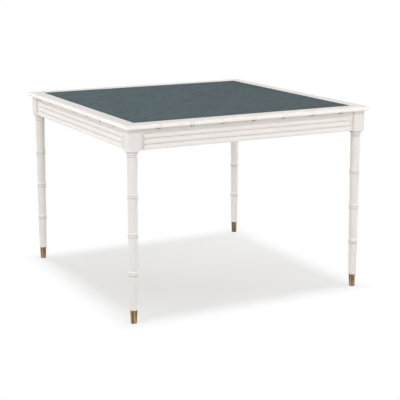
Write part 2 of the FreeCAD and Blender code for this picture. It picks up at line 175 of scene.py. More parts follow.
def notch(distance, half_width):
    """A rounded cut: the square of a cosine, 1 in the middle and 0 beyond the half width."""
    return np.cos(np.pi / 2 * np.clip(np.abs(distance) / half_width, 0, 1)) ** 2


def stations(start, end, coarse, middles=(), fine=0, fine_reach=0):
    """Places from start to end, a coarse step apart, and a fine step apart round each middle."""
    low, high = min(start, end), max(start, end)
    places = [np.linspace(low, high, max(2, round((high - low) / coarse) + 1))]
    for middle in middles:
        places.append(np.arange(middle - fine_reach, middle + fine_reach, fine))
    places = np.unique(np.round(np.concatenate(places), decimals=6))
    places = places[(places >= low) & (places <= high)]
    return places if start < end else places[::-1]


# %% [markdown]
# ## Building materials from nodes
#
# A finish is a small network of nodes, and short helpers keep it readable. Effects that several
# finishes share are node groups with named inputs. Noise lies mostly within a narrow range
# about 0.5, and the sum of two noises about 1, so those ranges have names here.


# %% Node helpers
narrow_cloud = (0.4, 0.6)
wide_cloud = (0.3, 0.7)
two_clouds = (0.6, 1.4)


def put(tree, kind, inputs=None, **settings):
    """A new shader node with its settings, and its inputs from plain values or nodes' outputs."""
    node = tree.nodes.new("ShaderNode" + kind)
    for key, value in settings.items():
        setattr(node, key, value)
    for key, value in (inputs or {}).items():
        if isinstance(value, bpy.types.NodeSocket):
            tree.links.new(value, node.inputs[key])
        else:
            node.inputs[key].default_value = value
    return node


def calculate(tree, operation, *values):
    """The result of one arithmetic node."""
    return put(tree, "Math", dict(enumerate(values)), operation=operation).outputs[0]


def product(tree, value, *others):
    """All the values multiplied together."""
    for other in others:
        value = calculate(tree, "MULTIPLY", value, other)
    return value


def weighted(tree, first, first_weight, second, second_weight):
    """The sum of two values, each times its weight."""
    return calculate(tree, "ADD", product(tree, first, first_weight), product(tree, second, second_weight))


def along_axis(tree, vector, axis):
    """One of a vector's three coordinates."""
    return put(tree, "SeparateXYZ", {"Vector": vector}).outputs[axis]


def painted_shading_of(tree):
    """Painted shading that each shaped piece carries: painted shade above zero, highlight below."""
    return put(tree, "Attribute", attribute_name="painted_shading").outputs["Fac"]


def blended(tree, factor, first, second, blend_type="MIX"):
    """The colour between two colours; 6 and 7 are the colour inputs of the Mix node."""
    inputs = {0: factor, 6: first, 7: second}
    return put(tree, "Mix", inputs, data_type="RGBA", blend_type=blend_type).outputs[2]


def toned(tree, colour, tone):
    """The colour times a tone, where 1 leaves it as it is."""
    grey = put(tree, "CombineColor", {"Red": tone, "Green": tone, "Blue": tone}).outputs[0]
    return blended(tree, 1.0, colour, grey, "MULTIPLY")


def ranged(tree, value, low, high, new_low=0.0, new_high=1.0, **settings):
    """The value carried from one range to another and held inside it."""
    inputs = {"Value": value, "From Min": low, "From Max": high, "To Min": new_low, "To Max": new_high}
    return put(tree, "MapRange", inputs, **settings).outputs[0]


def noise(tree, vector, scale, detail=3.0, roughness=0.6):
    """A cloud of values about 0.5 at so many swells per metre."""
    inputs = {"Vector": vector, "Scale": scale, "Detail": detail, "Roughness": roughness}
    return put(tree, "TexNoise", inputs).outputs["Fac"]


def stretched(tree, vector, scale):
    """Coordinates scaled along each axis, so that a pattern runs long where the scale is low."""
    return put(tree, "Mapping", {"Vector": vector, "Scale": scale}).outputs[0]


def new_group(name, inputs, outputs):
    """An empty node group that takes a vector and the named inputs, and the sockets inside it."""
    tree = bpy.data.node_groups.new(name, "ShaderNodeTree")
    for socket, kind, value in [("Vector", "Vector", (0, 0, 0))] + inputs:
        made = tree.interface.new_socket(socket, in_out="INPUT", socket_type="NodeSocket" + kind)
        made.default_value = value
    for socket, kind in outputs:
        tree.interface.new_socket(socket, in_out="OUTPUT", socket_type="NodeSocket" + kind)
    source = tree.nodes.new("NodeGroupInput").outputs
    result = tree.nodes.new("NodeGroupOutput").inputs
    return tree, source, result


def use_group(tree, group, inputs):
    """A group placed in a material, with its own values."""
    return put(tree, "Group", inputs, node_tree=group).outputs


def new_material(name, even_values):
    """A material with its shader, whose even values are set on the shader's own sockets."""
    material = bpy.data.materials.new(name)
    material.use_nodes = True
    tree = material.node_tree
    shader = tree.nodes["Principled BSDF"]
    for key, value in even_values.items():
        shader.inputs[key].default_value = value
    return material, tree, shader, put(tree, "TexCoord").outputs["Object"]


def connect(tree, shader, colour, roughness, height, distance):
    """Colour, roughness and a bump of the given depth go into the shader."""
    tree.links.new(colour, shader.inputs["Base Color"])
    tree.links.new(roughness, shader.inputs["Roughness"])
    bump = put(tree, "Bump", {"Height": height, "Distance": distance, "Strength": 1.0})
    tree.links.new(bump.outputs[0], shader.inputs["Normal"])


# %% [markdown]
# ## Shared effects
#
# *Clouding* is the slow drift of tone that every large surface has. *Tool lines* are the fine
# marks that a tool leaves across its feed. *Wood figure* is the growth of the board: wide bands
# from the rings, thin streaks along the grain and short dark pores. Each is a group, so a
# change to it reaches every finish that uses it.


# %% Shared effect groups
streak_stretch = (4, 220, 220)
pore_stretch = (60, 1400, 1400)
pore_range = (0.62, 0.72)
ring_weight = 0.45
streak_weight = 0.55


def make_clouding():
    """Tone that drifts about 1: noise less a half, doubled, times the amount, plus 1."""
    tree, source, result = new_group(
        "clouding",
        [("Scale", "Float", 3.0), ("Amount", "Float", 0.03)],
        [("Tone", "Float"), ("Mask", "Float")],
    )
    wide = noise(tree, source["Vector"], source["Scale"], roughness=0.55)
    swing = product(tree, calculate(tree, "SUBTRACT", wide, 0.5), 2.0)
    tone = calculate(tree, "ADD", product(tree, swing, source["Amount"]), 1.0)
    tree.links.new(tone, result["Tone"])
    tree.links.new(wide, result["Mask"])
    return tree


def make_tool_lines():
    """Fine parallel marks: noise squeezed along the direction of the feed."""
    inputs = [("Feed", "Vector", (20, 20, 2500))]
    tree, source, result = new_group("tool lines", inputs, [("Lines", "Float")])
    scaled = put(tree, "VectorMath", {0: source["Vector"], 1: source["Feed"]}, operation="MULTIPLY")
    tree.links.new(noise(tree, scaled.outputs[0], 1.0, roughness=0.7), result["Lines"])
    return tree


def make_wood_figure():
    """Rings as a wave bent by noise, streaks and pores as noise drawn out along the grain."""
    tree, source, result = new_group(
        "wood figure",
        [
            ("Pale", "Color", (0.6, 0.5, 0.35, 1)),
            ("Dark", "Color", (0.4, 0.3, 0.2, 1)),
            ("Ring Scale", "Float", 30.0),
            ("Pore Depth", "Float", 0.4),
        ],
        [("Color", "Color"), ("Height", "Float")],
    )
    bend = {"Distortion": 7.0, "Detail": 2.0, "Detail Scale": 0.6}
    inputs = {"Vector": source["Vector"], "Scale": source["Ring Scale"], **bend}
    rings = put(tree, "TexWave", inputs, wave_type="RINGS", rings_direction="X").outputs["Fac"]
    streaks = noise(tree, stretched(tree, source["Vector"], streak_stretch), 1.0)
    pores = noise(tree, stretched(tree, source["Vector"], pore_stretch), 1.0, detail=1.0, roughness=0.5)
    pore_mask = ranged(tree, pores, *pore_range)
    band = weighted(tree, rings, ring_weight, streaks, streak_weight)
    colour = blended(tree, band, source["Dark"], source["Pale"])
    pored = product(tree, pore_mask, source["Pore Depth"])
    tree.links.new(blended(tree, pored, colour, source["Dark"]), result["Color"])
    tree.links.new(calculate(tree, "SUBTRACT", streaks, pored), result["Height"])
    return tree


clouding = make_clouding()
tool_lines = make_tool_lines()
wood_figure = make_wood_figure()
print("groups", [group.name for group in bpy.data.node_groups])

# %% [markdown]
# ## The lacquer
#
# The white is a sprayed satin lacquer over sanded wood. Close up it has a very fine orange peel
# from the spray gun and the faintest grain of the wood drawn through it. A warm tan is laid on
# in patches as painted shade, where shadow falls: in the cut rings, and in the angle under the
# edge moulding. The number that each shaped piece carries says where the cuts are, and the
# height above the floor finds the angle. The grain has to follow the length of a piece, so
# there is one lacquer for each of the three directions. The edge moulding is painted a lighter
# white as painted highlight, and the border and the reeds nearly as light. So are the crests of
# the legs' knuckles and the bands between two rings, where the number goes below zero.

# %% The lacquers
lacquer_white = (0.80, 0.765, 0.738, 1)
# Painted highlight: two lighter copies of the white, for the moulding and for the border and reeds
moulding_highlight_white = (0.94, 0.90, 0.87, 1)
highlight_white = (0.86, 0.824, 0.796, 1)
# Painted shade: a tan laid into the cuts and into the angle under the moulding
painted_shade_tan = (0.34, 0.31, 0.27, 1)
cut_shade = 0.62
angle_shade = 0.40
angle_low = 17.0 * mm
angle_high = 11.0 * mm
angle_top = 0.8 * mm
least_patch = 0.7
grain_turns = {"x": (0, 0, 0), "y": (0, 0, math.pi / 2), "z": (0, math.pi / 2, 0)}
grain_stretch = (9, 420, 420)
grain_weight = 0.5
peel_weight = 0.6
lacquer_roughness = (0.42, 0.52)
lacquer_bump = 0.02 * mm


def along_grain(tree, place, direction):
    """Coordinates turned so that the grain runs along x."""
    return put(tree, "Mapping", {"Vector": place, "Rotation": grain_turns[direction]}).outputs[0]


def painted_shade_share(tree, place, painted_shading):
    """How much painted shade is laid on: the larger of the share in a cut and the share in the angle
    under the moulding, which fades in from below and ends just above it, all in patches."""
    height = along_axis(tree, place, "Z")
    rising = ranged(tree, height, top_underside - angle_low, top_underside - angle_high)
    falling = ranged(tree, height, top_underside, top_underside + angle_top, 1.0, 0.0)
    angle = product(tree, rising, falling, angle_shade)
    patchy = ranged(tree, noise(tree, place, scale=60.0), *wide_cloud, least_patch, 1.0)
    return product(tree, calculate(tree, "MAXIMUM", angle, product(tree, painted_shading, cut_shade)), patchy)


def make_lacquer(name, direction, white):
    """White that drifts a little in tone, lighter as painted highlight where the number is below
    zero, and tan as painted shade, with a bump of peel and grain.
    """
    material, tree, shader, place = new_material(name, {"Specular IOR Level": 0.08})
    drift = use_group(tree, clouding, {"Vector": place, "Scale": 5.0, "Amount": 0.018})
    along = stretched(tree, along_grain(tree, place, direction), grain_stretch)
    grain = noise(tree, along, 1.0, detail=2.0)
    peel = noise(tree, place, scale=900.0, detail=1.0, roughness=0.4)
    painted_shading = painted_shading_of(tree)
    # Painted highlight: a lighter white where the number is below zero
    highlighted = blended(tree, ranged(tree, painted_shading, -1.0, 0.0, 1.0, 0.0), white, moulding_highlight_white)
    lit = toned(tree, highlighted, drift["Tone"])
    # Painted shade: tan where the shade share says
    colour = blended(tree, painted_shade_share(tree, place, painted_shading), lit, painted_shade_tan)
    roughness = ranged(tree, calculate(tree, "ADD", peel, grain), *two_clouds, *lacquer_roughness)
    height = weighted(tree, peel, peel_weight, grain, grain_weight)
    connect(tree, shader, colour, roughness, height, lacquer_bump)
    return material


def lacquers(name, directions, white):
    """One lacquer for each direction that the grain runs in."""
    return {grain: make_lacquer(name + "_lacquer_" + grain, grain, white) for grain in directions}


def by_side(finish):
    """The finish of each side in turn: front and back run along x, right and left along y."""
    return [finish[grain] for grain in "xyxy"]


lacquer = lacquers("white", "xyz", lacquer_white)
moulding_highlight_lacquer = lacquers("moulding", "xy", moulding_highlight_white)
highlight_lacquer = lacquers("lit", "xy", highlight_white)
print("lacquers", len(lacquer) + len(moulding_highlight_lacquer) + len(highlight_lacquer))

# %% [markdown]
# ## The leather
#
# The field is a dyed hide with a matt finish, embossed with a fine pebble. Pebbles are cells:
# a Voronoi texture that measures the distance to the nearest cell wall is high in the middle
# of a cell and falls to zero along the wall, which is just the height of the grain. Two sizes
# of cell and a little noise keep it from looking like a honeycomb. The dye is cloudy and turns
# a little from blue to green. The creases are darker, partly from dye and partly as painted
# shade. Painted shade also darkens a strip along the border and the seam, and the tone falls
# a little from the left towards the right as painted light.


# %% The leather finish
blue_dye = (0.076, 0.111, 0.139, 1)
green_dye = (0.092, 0.133, 0.116, 1)
# Creases: darker dye, partly painted shade
crease_dye_and_shade = (0.060, 0.084, 0.094, 1)
# Painted shade along the border and the seam
edge_shade_colour = (0.022, 0.034, 0.042, 1)
edge_shade_cover = 0.8
# Painted light: the tone falls from the left towards the right
painted_light_left = 1.18
painted_light_right = 0.79
wander_reach = 0.9 * mm
pebble_scales = (620.0, 1500.0)
pebble_weights = (0.7, 0.3)
pebble_wall = 0.22
pebble_bump = 0.10 * mm
leather_roughness = (0.85, 0.72)


def pebbled(tree, place):
    """Cells of two sizes: the distance to the nearest wall, level beyond the wall's own width.

    A little noise is added to the place first, so that the walls wander."""
    clouds = put(tree, "TexNoise", {"Vector": place, "Scale": 500.0}).outputs["Color"]
    wander = put(tree, "VectorMath", {0: clouds, "Scale": wander_reach}, operation="SCALE").outputs[0]
    shifted = put(tree, "VectorMath", {0: place, 1: wander}, operation="ADD").outputs[0]
    cells = []
    for scale in pebble_scales:
        inputs = {"Vector": shifted, "Scale": scale}
        cell = put(tree, "TexVoronoi", inputs, feature="DISTANCE_TO_EDGE").outputs["Distance"]
        cells.append(ranged(tree, cell, 0.0, pebble_wall))
    return weighted(tree, cells[0], pebble_weights[0], cells[1], pebble_weights[1])


def make_leather():
    """Dye from blue to green times two sizes of cloud and the painted light gradient, then the creases
    darker with dye and painted shade, then painted shade along the edges.
    """
    material, tree, shader, place = new_material("sea_green_leather", {"Specular IOR Level": 0.08})
    pebble = pebbled(tree, place)
    drift = use_group(tree, clouding, {"Vector": place, "Scale": 12.0, "Amount": 0.42})
    fine = use_group(tree, clouding, {"Vector": place, "Scale": 75.0, "Amount": 1.08})
    across = along_axis(tree, place, "X")
    # Painted light gradient across the field
    painted_light = ranged(tree, across, -field_reach, field_reach, painted_light_left, painted_light_right)
    tone = product(tree, drift["Tone"], fine["Tone"], painted_light)
    hue = ranged(tree, noise(tree, place, scale=26.0), *narrow_cloud)
    dyed = toned(tree, blended(tree, hue, blue_dye, green_dye), tone)
    creased = blended(tree, pebble, crease_dye_and_shade, dyed)
    # Painted shade along the edges
    colour = blended(tree, product(tree, painted_shading_of(tree), edge_shade_cover), creased, edge_shade_colour)
    roughness = ranged(tree, pebble, 0.0, 1.0, *leather_roughness)
    connect(tree, shader, colour, roughness, pebble, pebble_bump)
    return material


leather = make_leather()
print("leather", len(leather.node_tree.nodes), "nodes")

# %% [markdown]
# ## The brass
#
# The ferrules are turned from tube and have gone brown with handling. A metal has almost no
# colour of its own in diffuse light, so the brown sits in the colour that it reflects. Dark
# tarnish lies in upright streaks, partly painted reflection: they stand in for the dark and
# bright stripes that a turned metal reflects. Fine tool lines run round the ferrule.


# %% Brass, and zinc-plated steel for the hidden hardware
line_share = 0.25
metal_bump = 0.012 * mm


def make_metal(name, bright, dull, roughness_range, feed, dull_share, streak_scale):
    """A bright metal that turns dull in streaks, with fine tool lines in its tone and bump. On the
    ferrules the upright dull streaks are tarnish and painted reflection.
    """
    material, tree, shader, place = new_material(name, {"Metallic": 1.0})
    lines = use_group(tree, tool_lines, {"Vector": place, "Feed": feed})["Lines"]
    # Patina in stretched patches; on the ferrules upright streaks, partly painted reflection
    streak_place = stretched(tree, place, streak_scale)
    patina_and_reflection = use_group(tree, clouding, {"Vector": streak_place, "Scale": 1.0, "Amount": 0.2})["Mask"]
    stain_and_reflection = product(tree, ranged(tree, patina_and_reflection, *narrow_cloud), dull_share)
    lined = calculate(tree, "ADD", stain_and_reflection, ranged(tree, lines, *wide_cloud, 0.0, line_share))
    colour = blended(tree, lined, (*bright, 1), (*dull, 1))
    roughness = ranged(tree, calculate(tree, "ADD", patina_and_reflection, lines), *two_clouds, *roughness_range)
    connect(tree, shader, colour, roughness, lines, metal_bump)
    return material


metal_values = {
    # The aged brass's dark upright streaks are tarnish and painted reflection
    "aged_brass": [(0.56, 0.39, 0.23), (0.16, 0.1, 0.055), (0.2, 0.34), (25, 25, 2600), 0.95, (170, 170, 6)],
    "plain_brass": [(0.70, 0.50, 0.24), (0.42, 0.28, 0.13), (0.28, 0.4), (300,) * 3, 0.4, (60,) * 3],
    "zinc_steel": [(0.66, 0.67, 0.68), (0.45, 0.46, 0.47), (0.3, 0.45), (700,) * 3, 0.5, (60,) * 3],
}
metals = {name: make_metal(name, *values) for name, values in metal_values.items()}
print("metals", list(metals))

# %% [markdown]
# ## Bare wood under the top
#
# Nothing under the top is painted except the legs and aprons: the panel's underside is birch
# plywood, the corner blocks and the cross rail are poplar, and the dowels and splines are beech.
# They share one figure group and differ in colour, ring scale and pores.


# %% Bare woods
poplar_pale = (0.68, 0.58, 0.40, 1)
poplar_dark = (0.50, 0.42, 0.27, 1)
wood_roughness = (0.72, 0.58)
wood_bump = 0.05 * mm


def make_wood(name, pale, dark, ring_scale, pore_depth, direction):
    """The wood figure along one direction, smoother where it stands higher."""
    material, tree, shader, place = new_material(name, {"Specular IOR Level": 0.3})
    inputs = {"Pale": pale, "Dark": dark, "Ring Scale": ring_scale, "Pore Depth": pore_depth}
    inputs["Vector"] = along_grain(tree, place, direction)
    figure = use_group(tree, wood_figure, inputs)
    roughness = ranged(tree, figure["Height"], 0.0, 1.0, *wood_roughness)
    connect(tree, shader, figure["Color"], roughness, figure["Height"], wood_bump)
    return material


birch_ply = make_wood("birch_ply", (0.70, 0.55, 0.37, 1), (0.52, 0.37, 0.22, 1), 5.0, 0.25, "x")
poplar = make_wood("poplar", poplar_pale, poplar_dark, 22.0, 0.2, "x")
poplar_y = make_wood("poplar_y", poplar_pale, poplar_dark, 22.0, 0.2, "y")
beech = make_wood("beech", (0.70, 0.52, 0.35, 1), (0.50, 0.33, 0.20, 1), 45.0, 0.6, "x")
print("woods", [wood.name for wood in (birch_ply, poplar, poplar_y, beech)])

# %% [markdown]
# ## The legs
#
# Each leg is turned from one square blank. The top stays square where the aprons join it, its
# lower corners are turned away to a round shoulder called a pommel, and below that the lathe
# makes a ringed neck and a cane with three knuckles. One formula gives all of it. Seen from
# above, each cut limits the radius: the four flats by h / cos, the turned outline by R, and the
# flat on the inner corner by f / cos. Adding the reciprocals raised to a high power, and taking
# the root, picks the smallest of them with a softly rounded arris where two meet.

# %% Leg sizes
leg_middle = (leg_low + leg_high) / 2
block_half = (leg_high[0] - leg_low[0]) / 2
pommel_rise = 5.0 * mm
pommel_drop = 4.0 * mm
neck_radius = 24.0 * mm
quirk_depth = 2.4 * mm
quirk_height = 2.8 * mm
quirk_round = 0.3 * mm
quirk_top_step = 0.4 * mm
quirk_foot_step = 0.1 * mm
# Painted shade in the quirk under the pommel and at its edge
quirk_edge_shade = 0.8
quirk_shade = 1.4
edge_round = 0.5 * mm
neck_edge_drop = 0.4 * mm
neck_flare_drop = 5.6 * mm
neck_ring_drop = 19.2 * mm
cane_radius_top = 20.0 * mm
cane_width_shares = (0.94, 0.893, 0.859)
cane_radius_foot = 15.5 * mm
knuckle_shares = (0.645, 0.450, 0.254)
knuckle_swell = 2.5 * mm
knuckle_step_share = 0.75
knuckle_shoulder = 8.0 * mm
knuckle_shoulder_round = 1.2 * mm
knuckle_reach = 14.0 * mm
knuckle_ring_drop = 2.0 * mm
# Painted highlight on each knuckle's crest and on the band between two rings
crest_half_width = 3.4 * mm
band_half_width = 2.2 * mm
band_highlight = 0.4
ring_half_spacing = 4.2 * mm
ring_half_width = 2.4 * mm
ring_depth = 2.0 * mm
# Share of painted shade in the upper ring of each pair
upper_ring_shade = 0.55
inner_flat = 12.0 * mm
arris_power = 40
beyond_corner = 1.4
least_radius = 0.001 * mm
spigot_clearance = 1.3 * mm
spigot_taper = 1.9 * mm
cane_step = 6.0 * mm
ring_step = 0.35 * mm
ring_step_reach = 14.0 * mm
knuckle_heights = [table_height * share for share in knuckle_shares]
ring_middles = [height - knuckle_ring_drop for height in knuckle_heights]
neck_middle = apron_bottom - neck_ring_drop
neck_rings = [neck_middle + side * ring_half_spacing for side in (-1, 1)]
lower_rings = [middle - ring_half_spacing for middle in ring_middles]
upper_rings = [middle + ring_half_spacing for middle in ring_middles]
neck_top = apron_bottom - pommel_drop - quirk_height
print("knuckles at", np.round(knuckle_heights, 3))


# %% Cane outline
def cane_outline(z):
    """Radius and painted shading at heights z: a straight taper from knuckle to knuckle, a flare that
    dies away under the neck, and two cut rings on the neck and under the shoulder of each knuckle.

    A knuckle swells slowly from above, steps out to a shoulder, and fades slowly below it. The cut
    rings get painted shade, and the number is below zero for painted highlight on the crest and on
    the band between two rings."""
    heights = [ferrule_high[2]] + knuckle_heights[::-1] + [neck_top]
    widths = [cane_radius_foot] + [cane_radius_top * share for share in cane_width_shares[::-1]]
    radius = np.interp(z, heights, widths + [cane_radius_top])
    radius += (neck_radius - cane_radius_top) * np.exp(-(neck_top - z) / neck_flare_drop)
    painted_shading = np.zeros_like(z)
    # Each knuckle swells, with painted highlight on its crest
    for middle in knuckle_heights:
        swell = swelling(z - middle, knuckle_shoulder, knuckle_reach)
        step = 0.5 - 0.5 * np.tanh((z - middle - knuckle_shoulder) / knuckle_shoulder_round)
        radius += knuckle_swell * swell * (1 - knuckle_step_share + knuckle_step_share * step)
        painted_shading -= notch(z - middle - knuckle_shoulder, crest_half_width)
    # Painted highlight on the band between two rings
    for middle in ring_middles + [neck_middle]:
        painted_shading -= band_highlight * notch(z - middle, band_half_width)
    # Painted shade in the cut rings, lighter in the upper ring of each pair
    for rings, shade_share in ((neck_rings, 1.0), (lower_rings, 1.0), (upper_rings, upper_ring_shade)):
        for height in rings:
            cut = notch(z - height, ring_half_width)
            radius -= ring_depth * cut
            painted_shading += shade_share * cut
    return radius, painted_shading


# %% Leg profile
def leg_profile():
    """Turned radius, height, painted shading, and whether the inner flat is cut, from the top down.

    A radius beyond the block's corner means that the lathe doesn't reach the wood there."""
    corner = block_half * math.sqrt(2)
    free = corner * beyond_corner
    pommel_high = apron_bottom + pommel_rise
    pommel_low = apron_bottom - pommel_drop
    side_z = np.linspace(leg_high[2], pommel_high, 24)
    turn = np.linspace(np.pi / 2, 0, 18)
    pommel_r = neck_radius + (corner - neck_radius) * np.sin(turn)
    pommel_z = pommel_high - (pommel_high - pommel_low) * np.cos(turn)
    quirk_r = neck_radius - quirk_depth
    cane_top = neck_top - neck_edge_drop
    cane_foot = ferrule_high[2] + edge_round
    places = ring_middles + neck_rings
    cane_z = stations(cane_top, cane_foot, cane_step, places, ring_step, ring_step_reach)
    cane_r, cane_shading = cane_outline(cane_z)
    spigot_top = (ferrule_high[0] - ferrule_low[0]) / 2 - spigot_clearance
    spigot_foot = spigot_top - spigot_taper
    stretches = [
        (free * np.linspace(0, 1, 6), leg_high[2], 0, 1),
        (free, side_z, 0, 1),
        (pommel_r, pommel_z, 0, 0),
        # Painted shade in the quirk under the pommel
        (quirk_r + quirk_round, pommel_low, quirk_edge_shade, 0),
        (quirk_r, pommel_low - quirk_top_step, quirk_shade, 0),
        (quirk_r, neck_top + quirk_foot_step, quirk_shade, 0),
        (quirk_r + quirk_round, neck_top, 1, 0),
        (neck_radius - edge_round, neck_top, 0, 0),
        (cane_r, cane_z, cane_shading, 0),
        (cane_radius_foot - edge_round, ferrule_high[2], 0, 0),
        (spigot_top, ferrule_high[2], 0, 0),
        (spigot_foot * np.array([1, 0.5, 0]), leg_low[2], 0, 0),
    ]
    rows = [np.stack(np.broadcast_arrays(*np.atleast_1d(*stretch))) for stretch in stretches]
    return np.concatenate(rows, axis=1)


profile = leg_profile()
print("leg profile", profile.shape[1], "rows")


# %% Leg surface
def leg_angles(per_quarter):
    """Angles round the leg, crowded towards the corners of the square by a sine."""
    share = np.linspace(-1, 1, per_quarter, endpoint=False)
    quarter = np.pi / 4 * np.sin(np.pi / 2 * share)
    return np.concatenate([quarter + turn * np.pi / 2 for turn in range(4)])


def leg_surface():
    """Points and painted shading of the front left leg: the soft minimum of flats and turned radius."""
    turned_r, z, painted_shading, flat_cut = [row[:, None] for row in profile]
    angle = leg_angles(per_quarter=30)[None, :]
    flat_distance = (2 * block_half - inner_flat) / math.sqrt(2)
    total = (np.abs(np.cos(angle)) / block_half) ** arris_power
    total = total + (np.abs(np.sin(angle)) / block_half) ** arris_power
    total = total + flat_cut * (np.clip(np.cos(angle - np.pi / 4), 0, 1) / flat_distance) ** arris_power
    total = total + (1 / np.maximum(turned_r, least_radius)) ** arris_power
    radius = total ** (-1 / arris_power)
    x = leg_middle[0] + radius * np.cos(angle)
    y = leg_middle[1] + radius * np.sin(angle)
    return joined(x, y, z), np.broadcast_to(painted_shading, x.shape)


four_round("turned_leg_*", "leg_*", corner_names, leg_surface(), [lacquer["z"]] * 4, "lacquer")

# %% [markdown]
# ## The ferrules
#
# A ferrule is a tapered brass cup with a rolled lower edge, and a countersunk hole in its floor
# for the screw. Its section is one closed line, carried round in a circle, so the mesh closes
# on itself in both directions and needs no pole.

# %% Ferrule surface
ferrule_wall = 1.2 * mm
ferrule_floor = 3.0 * mm
ferrule_taper = 2.0 * mm
ferrule_roll = 1.5 * mm
ferrule_lip = 0.3 * mm
ferrule_sides = 96
screw_hole_radius = 2.1 * mm
screw_head_radius = 4.1 * mm
screw_head_recess = 0.4 * mm
screw_cone_height = 2.4 * mm


def ferrule_section():
    """Radius and height along the wall: underside, rolled edge, outside, lip, inside and hole."""
    top = (ferrule_high[0] - ferrule_low[0]) / 2
    foot = top - ferrule_taper
    height = ferrule_high[2]
    roll = np.linspace(-np.pi / 2, 0, 8)
    roll_radius = foot - ferrule_roll + ferrule_roll * np.cos(roll)
    side = np.linspace(0, 1, 24)[1:]
    side_radius = foot + (top - foot) * side
    side_height = ferrule_roll + (height - ferrule_lip - ferrule_roll) * side
    edge = np.linspace(0, np.pi / 2, 4)[1:]
    edge_radius = top - ferrule_lip * (1 - np.cos(edge))
    parts = [
        [[screw_head_radius, 0]],
        np.stack([roll_radius, ferrule_roll * (1 + np.sin(roll))], axis=1),
        np.stack([side_radius, side_height], axis=1),
        np.stack([edge_radius, height - ferrule_lip * (1 - np.sin(edge))], axis=1),
        [[top - ferrule_wall, height], [foot - ferrule_wall, ferrule_floor]],
        [[screw_hole_radius, ferrule_floor], [screw_hole_radius, screw_head_recess + screw_cone_height]],
        [[screw_head_radius, screw_head_recess]],
    ]
    return np.concatenate(parts)


def ferrule_surface():
    """The section carried round the leg's upright middle line."""
    section = ferrule_section()
    angle = np.linspace(0, 2 * np.pi, ferrule_sides, endpoint=False)[:, None]
    x = leg_middle[0] + section[:, 0] * np.cos(angle)
    y = leg_middle[1] + section[:, 0] * np.sin(angle)
    return joined(x, y, section[:, 1]), np.zeros(x.shape)


brass = [metals["aged_brass"]] * 4
four_round("brass_ferrule_*", "ferrule_*", corner_names, ferrule_surface(), brass, "brass", wrap_rows=True)

# %% [markdown]
# ## Mitred lengths
#
# The border boards and the edge moulding are long sections cut at 45 degrees at both ends. A
# point of the section that lies further out belongs to a longer line, because the cut runs
# along the diagonal: there x equals y. The knuckles must keep their places, so only the last
# stretch of the length is drawn out to the diagonal.

# %% Carrying a section between two mitres
mitre_gap = 0.12 * mm
mitre_share = 0.9


def between_mitres(x, y):
    """x along the length, drawn out near both ends until it meets the diagonal |x| = |y|."""
    reach = np.abs(x).max()
    share = np.clip((np.abs(x) / reach - mitre_share) / (1 - mitre_share), 0, 1)
    return x + np.sign(x) * share * (np.abs(y) - mitre_gap - reach)


# %% [markdown]
# ## The border boards
#
# Four flat boards frame the leather. Their arrises are eased by hand, which is what catches the
# light round the field, and leaves a thin line between board and moulding, darkened with painted
# shade. A groove on the inner edge holds the panel's tongue and one on the outer edge the
# moulding's.

# %% Border boards
arris = 0.8 * mm
border_step = 20.0 * mm
border_line_width = 2.4 * mm
# Painted shade in the line beside the moulding
border_line_shade = 0.9
panel_groove_depth = 8.1 * mm
panel_groove_half = 3.1 * mm
moulding_groove_depth = 5.1 * mm
moulding_groove_half = 2.1 * mm


def eased(face, turn, steps=6):
    """The top arris of an upright face, rounded to a quarter circle, from the face to the flat."""
    angle = np.linspace(0, np.pi / 2, steps)
    y = face - turn * arris * (1 - np.cos(angle))
    z = table_height - arris * (1 - np.sin(angle))
    return np.stack([y, z], axis=1)


def border_section():
    """Depth y and height z round the board, inner edge first and then over the top."""
    inner, outer = -field_reach, -border_reach
    inner_back, outer_back = inner - panel_groove_depth, outer + moulding_groove_depth
    inner_low, inner_high = top_middle - panel_groove_half, top_middle + panel_groove_half
    outer_low, outer_high = top_middle - moulding_groove_half, top_middle + moulding_groove_half
    parts = [
        [[inner, top_underside], [inner, inner_low], [inner_back, inner_low]],
        [[inner_back, inner_high], [inner, inner_high]],
        eased(inner, 1),
        [[outer + border_line_width, table_height]],
        eased(outer, -1)[::-1],
        [[outer, outer_high], [outer_back, outer_high]],
        [[outer_back, outer_low], [outer, outer_low], [outer, top_underside]],
    ]
    return np.concatenate(parts)


def border_surface():
    """The section at stations along the board, drawn out to its mitres.

    The painted shade falls evenly from the outer edge over the width of the line beside the moulding."""
    x = stations(-border_reach, border_reach, border_step)[:, None]
    y, z = border_section().T
    line = np.clip(1 - np.abs(y + border_reach) / border_line_width, 0, 1) * (z > top_middle)
    points = joined(between_mitres(x, y), y, z)
    return points, np.broadcast_to(border_line_shade * line, points.shape[:2])


# A lighter white as painted highlight
white = by_side(highlight_lacquer)
four_round("border_board_*", "border_*", side_names, border_surface(), white, "lacquer", caps=True)

# %% [markdown]
# ## The edge moulding
#
# A half-round cane runs round the edge of the top. At each knuckle a ring stands proud between
# two cut grooves. The radius is a function of the place along the cane, and the section is half
# a circle of that radius with a tongue at its back, which is glued into the border. Each ring
# hangs a little lower than the cane. Painted shade darkens the grooves more towards the
# underside, and a pool of painted shade lies under each ring.

# %% Edge moulding
moulding_knuckles = 7
moulding_ring_half = 4.0 * mm
moulding_ring_crown = 1.5 * mm
moulding_ring_rise = 1.0 * mm
moulding_ring_hang = 4.5 * mm
hang_core = 1.6 * moulding_ring_half
hang_reach = 2.4 * moulding_ring_half
moulding_cut_gap = 1.2 * mm
moulding_cut_half = 2.2 * mm
moulding_cut_depth = 2.2 * mm
